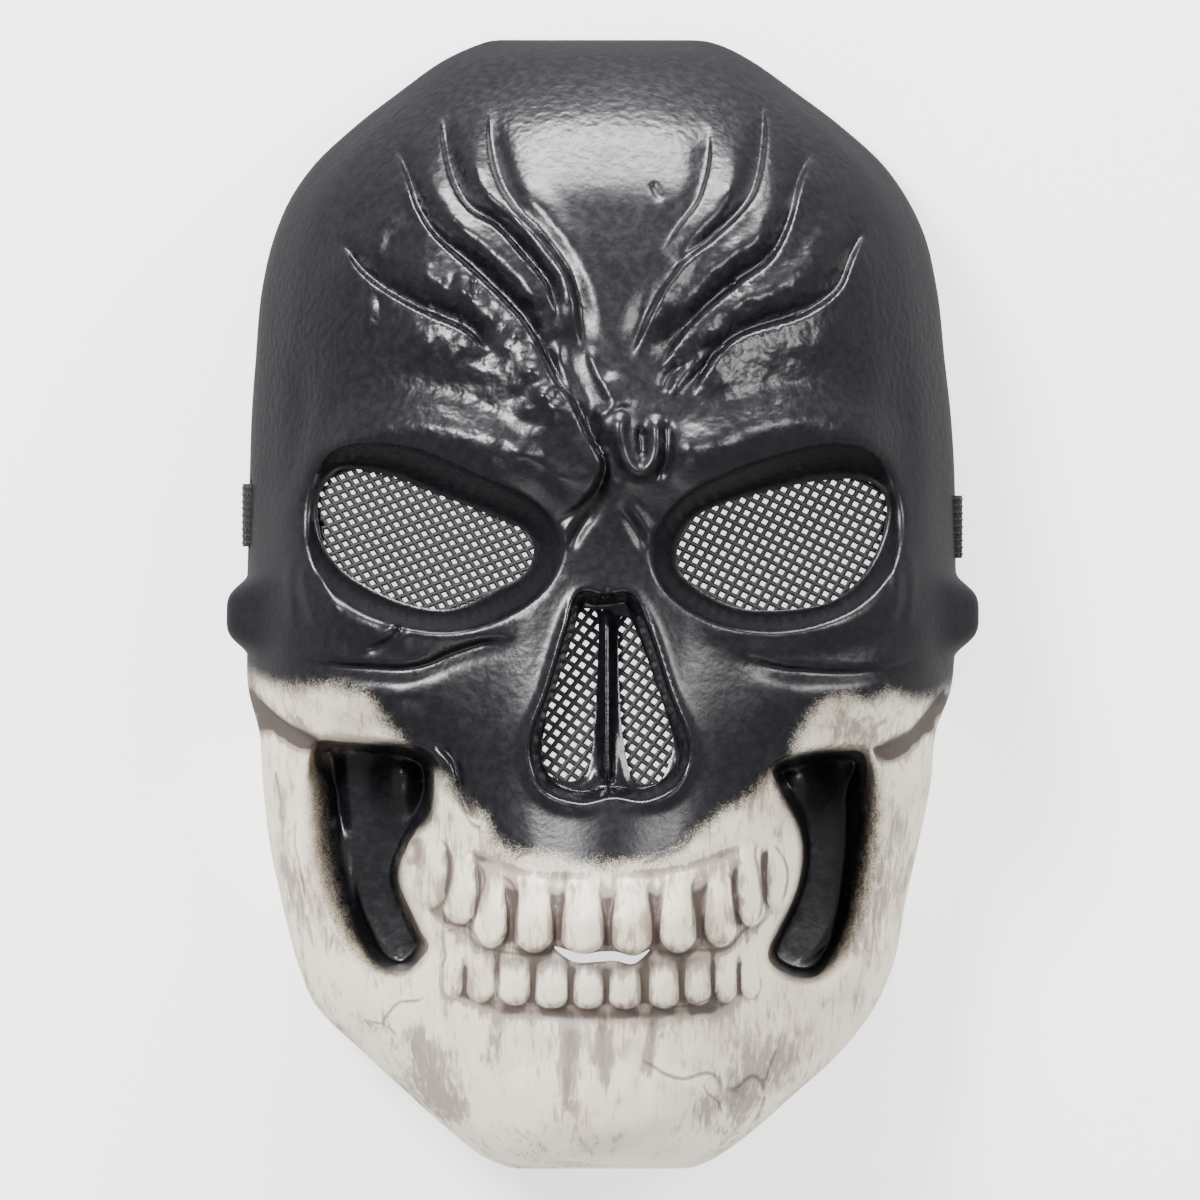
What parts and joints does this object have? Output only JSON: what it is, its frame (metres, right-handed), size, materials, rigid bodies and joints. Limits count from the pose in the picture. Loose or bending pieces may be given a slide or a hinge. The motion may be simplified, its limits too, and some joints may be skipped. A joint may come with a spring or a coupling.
{
  "type": "skull mask",
  "caption": "Rigid full-face carnival mask shaped as a skull, two-tone, with net behind the eye and nose openings and an elastic head strap.",
  "frame": {"origin": "middle of the underside: the mask lies face up on its rim, and z is 0 on the surface that it rests on", "axes": "+Z out of the face, +Y from the chin to the forehead, +X to the right of the front view"},
  "size_m": [0.1888, 0.2834, 0.0997],
  "materials": {
    "painted_plastic": "moulded plastic, satin black paint over bone colour",
    "black_net": "pierced sheet, matt black",
    "black_elastic": "ribbed woven elastic, matt black"
  },
  "bodies": {
    "root": {"mask_shell": "painted_plastic", "eye_mesh_left": "black_net", "eye_mesh_right": "black_net", "nose_mesh_left": "black_net", "nose_mesh_right": "black_net", "head_strap": "black_elastic"}
  },
  "joints": []
}
